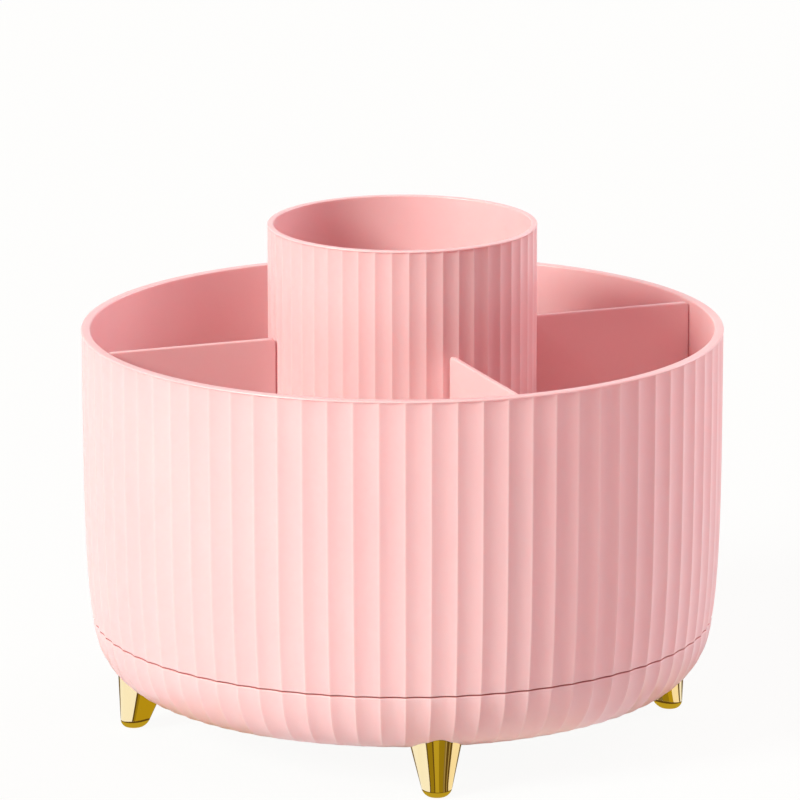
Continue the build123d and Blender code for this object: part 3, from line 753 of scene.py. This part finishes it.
def pink_plastic():
    """Gloss moulded plastic: flow marks, specks, a fine skin, painted ridge highlights and seam
    shade.
    """
    n = Nodes("pink_moulded_plastic")
    flow = n.noise(scale=26, detail=3, stretch=(1, 1, 0.45))
    tint = n.ramp(flow, [(0.3, linear(243, 191, 193)), (0.7, linear(245, 197, 198))])
    specks = n.spread(n.noise(scale=900), span=(0.35, 0.75), onto=(0.0, 0.04))
    tint = n.mix(specks, tint, linear(237, 179, 181))
    # Painted highlight: the ridges are tinted paler where the ridge mask is high.
    ridges = n.spread(n.attribute("ridge"), span=(0.0, 1.0), onto=(0.0, 0.24))
    tint = n.mix(ridges, tint, linear(250, 222, 219))
    # Painted shade: the seam's gap and edges are tinted dark red, standing in for the shade in the
    # gap.
    seam = n.spread(n.attribute("groove"), span=(0.32, 0.8), onto=(0.0, 1.0))
    tint = n.mix(seam, tint, linear(206, 92, 84))
    n.link(tint, "Base_Color")
    handling = n.noise(scale=42, detail=3, roughness=0.55)
    handling = n.spread(handling, span=(0.3, 0.72), onto=(0.29, 0.37))
    fine = n.spread(n.noise(scale=420), span=(0.3, 0.7), onto=(-0.015, 0.015))
    n.link(n.add(handling, fine), "Roughness")
    waves = n.bump(n.noise(scale=55), distance=0.00008, strength=0.25)
    skin = n.bump(n.noise(scale=1500), distance=0.000006, strength=0.5, below=waves)
    n.link(skin, "Normal")
    n.set(IOR=1.49, Subsurface_Weight=0.35, Subsurface_Scale=0.005)
    n.set(Subsurface_Radius=(1.0, 0.3, 0.25))
    return n.material


def polished_gold():
    """Polished plated metal with faint wiping marks and a soft grain."""
    n = Nodes("polished_gold")
    wipes = n.noise(scale=160, detail=3, stretch=(1, 1, 0.2), distortion=0.5)
    tint = n.ramp(wipes, [(0.3, linear(251, 232, 184)), (0.7, linear(253, 236, 192))])
    n.link(tint, "Base_Color")
    smudges = n.noise(scale=90, detail=4, roughness=0.6)
    smudges = n.spread(smudges, span=(0.35, 0.75), onto=(0.03, 0.07))
    scratches = n.noise(scale=2600, stretch=(1, 1, 0.06))
    scratches = n.spread(scratches, span=(0.4, 0.8), onto=(0.0, 0.02))
    n.link(n.add(smudges, scratches), "Roughness")
    n.link(n.bump(n.noise(scale=220, detail=1), distance=0.00001, strength=0.3), "Normal")
    n.set(Metallic=1.0)
    return n.material


def plated_steel():
    """Zinc plated steel with a fine satin grain."""
    n = Nodes("plated_steel")
    grain = n.noise(scale=1800, stretch=(1, 1, 0.15))
    tint = n.ramp(grain, [(0.3, linear(176, 180, 184)), (0.7, linear(205, 208, 210))])
    n.link(tint, "Base_Color")
    n.link(n.spread(grain, span=(0.3, 0.7), onto=(0.22, 0.38)), "Roughness")
    n.link(n.bump(grain, distance=0.00001, strength=0.5), "Normal")
    n.set(Metallic=1.0)
    return n.material


def bearing_plastic():
    """Matt natural plastic of the hidden bearing parts."""
    n = Nodes("bearing_plastic")
    cloud = n.noise(scale=120, detail=3)
    tint = n.ramp(cloud, [(0.3, linear(226, 222, 210)), (0.7, linear(238, 235, 226))])
    n.link(tint, "Base_Color")
    n.link(n.spread(cloud, span=(0.3, 0.7), onto=(0.5, 0.62)), "Roughness")
    n.link(n.bump(n.noise(scale=1600), distance=0.00002, strength=0.5), "Normal")
    return n.material


pink = pink_plastic()
gold = polished_gold()
steel = plated_steel()
natural = bearing_plastic()

# Pieces that stand for CAD nodes
tub_body = make_tub(pink)
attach(tub_body, "turntable")
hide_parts("tub")

bowl_body = make_bowl(pink)
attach(bowl_body, "base")
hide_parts("base_bowl")

cup_body = make_cup(pink)
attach(cup_body, "cup")
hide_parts("centre_cup")

for index, side in enumerate(("front", "right", "rear", "left")):
    foot = make_foot("gold_foot_" + side, FOOT_AZIMUTH + index * 90, gold)
    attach(foot, "base")
    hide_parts("foot_" + side)

for index, side in enumerate(("front_right", "rear_right", "rear_left", "front_left")):
    plate = make_divider("plate_" + side, DIVIDER_AZIMUTH + index * 90, pink)
    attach(plate, "divider_" + side + "_plate")
    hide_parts("divider_" + side)

# Finishes of the CAD nodes that stay
FINISHES = {
    "hub_cap": pink,
    "foot_screws": steel,
    "lower_race": natural,
    "lower_race_screws": steel,
    "ball_cage": natural,
    "bearing_balls": steel,
    "upper_race": natural,
    "upper_race_screws": steel,
    "pivot_pin": steel,
    "pivot_bush": natural,
    "pivot_washer": steel,
    "pivot_screw": steel,
}
for node, material in FINISHES.items():
    for material_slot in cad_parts[node].material_slots:
        material_slot.material = material


# Studio

FLOOR_HALF = 6.0
FLOOR_COLOUR = (0.74, 0.74, 0.74, 1.0)
FLOOR_ROUGHNESS = 0.9
FLOOR_GLOW = (1.0, 1.0, 0.99, 1.0)
FLOOR_GLOW_SHARE = 0.94
AMBIENT = (0.35, 0.122, 0.14, 1.0)
BACKDROP = (0.985, 0.985, 0.97515, 1.0)
# Lamps: name, azimuth, elevation, strength, spread angle, colour
LAMPS = (
    ("key_lamp", -54, 29, 3.75, 22, (0.82, 1.0, 0.92)),
    ("fill_lamp", 122, 25, 1.75, 40, (0.89, 0.96, 0.99)),
    ("top_lamp", 20, 72, 0.45, 40, (1.0, 1.0, 1.0)),
)
LAMP_DISTANCE = 2.0
# Camera at the photograph's viewing angle: lens and sensor in mm, angles in degrees
CAMERA_LENS = 296.9
CAMERA_SENSOR = 36
CAMERA_PLACE = (0, -2.400, 0.7121)
CAMERA_LOOKS_DOWN = 13.775
CAMERA_ROLL = 0.06
CAMERA_TURN = 0.0067


def reflected_only(obj):
    """Leave a stage piece to reflections alone."""
    obj.visible_camera = False
    obj.visible_diffuse = False
    obj.visible_transmission = False
    obj.visible_volume_scatter = False
    obj.visible_shadow = False


def backdrop_share(tree):
    """Socket that is 1 for the rays that see the backdrop: camera, glossy and transmission rays."""
    path = tree.nodes.new("ShaderNodeLightPath")
    total = path.outputs["Is Camera Ray"]
    for name in ("Is Glossy Ray", "Is Transmission Ray"):
        node = tree.nodes.new("ShaderNodeMath")
        node.operation = "MAXIMUM"
        tree.links.new(total, node.inputs[0])
        tree.links.new(path.outputs[name], node.inputs[1])
        total = node.outputs[0]
    return total


def floor_material():
    """Pale floor: mostly backdrop white to the camera, and the rest of it takes the shadow."""
    material = bpy.data.materials.new("studio_floor")
    material.use_nodes = True
    tree = material.node_tree
    shader = tree.nodes["Principled BSDF"]
    shader.inputs["Base Color"].default_value = FLOOR_COLOUR
    shader.inputs["Roughness"].default_value = FLOOR_ROUGHNESS
    shader.inputs["Specular IOR Level"].default_value = 0.0
    glow = tree.nodes.new("ShaderNodeEmission")
    glow.inputs["Color"].default_value = FLOOR_GLOW
    share = tree.nodes.new("ShaderNodeMath")
    share.operation = "MULTIPLY"
    share.inputs[1].default_value = FLOOR_GLOW_SHARE
    tree.links.new(backdrop_share(tree), share.inputs[0])
    mix = tree.nodes.new("ShaderNodeMixShader")
    tree.links.new(share.outputs[0], mix.inputs["Fac"])
    tree.links.new(shader.outputs["BSDF"], mix.inputs[1])
    tree.links.new(glow.outputs["Emission"], mix.inputs[2])
    tree.links.new(mix.outputs["Shader"], tree.nodes["Material Output"].inputs["Surface"])
    return material


def floor():
    mesh = bpy.data.meshes.new("studio_floor")
    corners = ((-1, -1), (1, -1), (1, 1), (-1, 1))
    mesh.from_pydata([(x * FLOOR_HALF, y * FLOOR_HALF, 0) for x, y in corners], [], [(0, 1, 2, 3)])
    mesh.materials.append(floor_material())
    obj = bpy.data.objects.new("studio_floor", mesh)
    bpy.context.scene.collection.objects.link(obj)


# Glowing card, seen only in reflections: a painted reflection
def card_material(name, colour):
    material = bpy.data.materials.new(name)
    material.use_nodes = True
    tree = material.node_tree
    tree.nodes.clear()
    glow = tree.nodes.new("ShaderNodeEmission")
    glow.inputs["Color"].default_value = colour
    output = tree.nodes.new("ShaderNodeOutputMaterial")
    tree.links.new(glow.outputs["Emission"], output.inputs["Surface"])
    return material


def sun(name, azimuth, elevation, strength, spread_angle, colour):
    """Soft distant lamp that shines from an azimuth and elevation."""
    lamp = bpy.data.lights.new(name, "SUN")
    lamp.energy = strength
    lamp.angle = radians(spread_angle)
    lamp.color = colour
    obj = bpy.data.objects.new(name, lamp)
    bpy.context.scene.collection.objects.link(obj)
    towards = direction(azimuth) * cos(radians(elevation)) + Vector((0, 0, sin(radians(elevation))))
    obj.location = towards * LAMP_DISTANCE
    obj.rotation_euler = towards.to_track_quat("Z", "Y").to_euler()


floor()

# Painted reflections: a fan of glowing cards on the floor round each foot, seen only in
# reflections. Their bands paint the dark, gold and straw bands on the polished feet, in place of a
# studio's dark surroundings and warm boards.
CARD_HEIGHT = 0.4 * MM
CARD_HEIGHT_STEP = 0.1 * MM
CARD_START = 8.0 * MM
CARD_RIM = 9.3 * MM
CARD_FAR = 74 * MM
CARD_NEAR = 54 * MM
CARD_STEPS = 6
CARD_RIM_STEPS = 36
# Glow colours of the painted reflection bands
CARD_COLOURS = {
    "shade": (0.20, 0.14, 0.055, 1.0),
    "deep": (0.12, 0.07, 0.012, 1.0),
    "brown": (0.22, 0.16, 0.06, 1.0),
    "dark_gold": (0.31, 0.215, 0.010, 1.0),
    "gold": (0.50, 0.365, 0.028, 1.0),
    "rich_gold": (0.47, 0.32, 0.012, 1.0),
    "pale_line": (0.40, 0.30, 0.10, 1.0),
    "straw": (0.98, 0.86, 0.62, 1.0),
}
# Bands of a fan: colour, first and last azimuth as seen from the foot
FRONT_BANDS = (
    ("shade", -178, -132),
    ("deep", -42, -36),
    ("dark_gold", -36, -15),
    ("deep", -15, -9),
    ("gold", -9, 14),
    ("dark_gold", 14, 40),
    ("brown", 40, 44),
    ("pale_line", 44, 49),
    ("deep", 49, 61),
    ("pale_line", 61, 66),
    ("deep", 66, 77),
    ("straw", 77, 132),
    ("shade", 132, 178),
)
LEFT_BANDS = (
    ("shade", -178, -134),
    ("deep", -15, -6),
    ("dark_gold", -6, 4),
    ("rich_gold", 4, 132),
    ("shade", 132, 178),
)
RIGHT_BANDS = (
    ("shade", -178, -112),
    ("brown", -60, -30),
    ("dark_gold", -30, 6),
    ("rich_gold", 6, 32),
    ("straw", 32, 82),
    ("deep", 82, 97),
    ("shade", 122, 178),
)
# Fans: foot, its azimuth, turn of the bands, bands, reach
CARD_FANS = (
    ("front", FOOT_AZIMUTH, 0, FRONT_BANDS, CARD_FAR),
    ("right", FOOT_AZIMUTH + 90, 0, RIGHT_BANDS, CARD_NEAR),
    ("rear", FOOT_AZIMUTH + 180, 180, FRONT_BANDS, CARD_FAR),
    ("left", FOOT_AZIMUTH + 270, 0, LEFT_BANDS, CARD_FAR),
)


def painted_reflection_fan(side, foot_azimuth, turn, bands, fan_reach, height):
    """A disc, dark rim and fan of glowing bands on the floor round a foot: painted reflections."""
    centre = direction(foot_azimuth) * FOOT_BOTTOM_CENTRE + Vector((0, 0, height))
    points = []
    faces = []
    colours = []
    rim_angles = spread(0, 360, CARD_RIM_STEPS)[:-1]
    sectors = [("gold", 0, CARD_START, rim_angles)]
    rim_ends = rim_angles[1:] + [360]
    sectors += [("deep", CARD_START, CARD_RIM, pair) for pair in zip(rim_angles, rim_ends)]
    sectors += [(colour, CARD_RIM, fan_reach, spread(first, last, CARD_STEPS))
                for colour, first, last in bands]
    for colour, start, reach, angles in sectors:
        outline = [centre + direction(turn + a) * reach for a in angles]
        if start:
            outline += [centre + direction(turn + a) * start for a in reversed(angles)]
        faces.append(range(len(points), len(points) + len(outline)))
        points += outline
        colours.append(colour)
    mesh = bpy.data.meshes.new("painted_reflection_fan_" + side)
    mesh.from_pydata(points, [], faces)
    order = list(CARD_COLOURS)
    for colour in order:
        mesh.materials.append(card_materials[colour])
    for polygon, colour in zip(mesh.polygons, colours):
        polygon.material_index = order.index(colour)
    fan = bpy.data.objects.new("painted_reflection_fan_" + side, mesh)
    bpy.context.scene.collection.objects.link(fan)
    reflected_only(fan)


card_materials = {}
for name, colour in CARD_COLOURS.items():
    card_materials[name] = card_material("card_" + name, colour)
for index, fan in enumerate(CARD_FANS):
    painted_reflection_fan(*fan, CARD_HEIGHT + index * CARD_HEIGHT_STEP)

world = bpy.data.worlds.new("studio_world")
bpy.context.scene.world = world
world.use_nodes = True
world_tree = world.node_tree
backdrop = world_tree.nodes["Background"]
ambient = world_tree.nodes.new("ShaderNodeBackground")
backdrop.inputs["Color"].default_value = BACKDROP
ambient.inputs["Color"].default_value = AMBIENT
world_mix = world_tree.nodes.new("ShaderNodeMixShader")
world_tree.links.new(backdrop_share(world_tree), world_mix.inputs["Fac"])
world_tree.links.new(ambient.outputs["Background"], world_mix.inputs[1])
world_tree.links.new(backdrop.outputs["Background"], world_mix.inputs[2])
world_output = world_tree.nodes["World Output"]
world_tree.links.new(world_mix.outputs["Shader"], world_output.inputs["Surface"])

for lamp in LAMPS:
    sun(*lamp)

camera_data = bpy.data.cameras.new("camera")
camera_data.lens = CAMERA_LENS
camera_data.sensor_width = CAMERA_SENSOR
camera = bpy.data.objects.new("camera", camera_data)
camera.location = CAMERA_PLACE
camera_angles = (90 - CAMERA_LOOKS_DOWN, CAMERA_ROLL, CAMERA_TURN)
camera.rotation_euler = [radians(angle) for angle in camera_angles]
bpy.context.scene.collection.objects.link(camera)
bpy.context.scene.camera = camera
bpy.context.scene.view_settings.view_transform = "Standard"
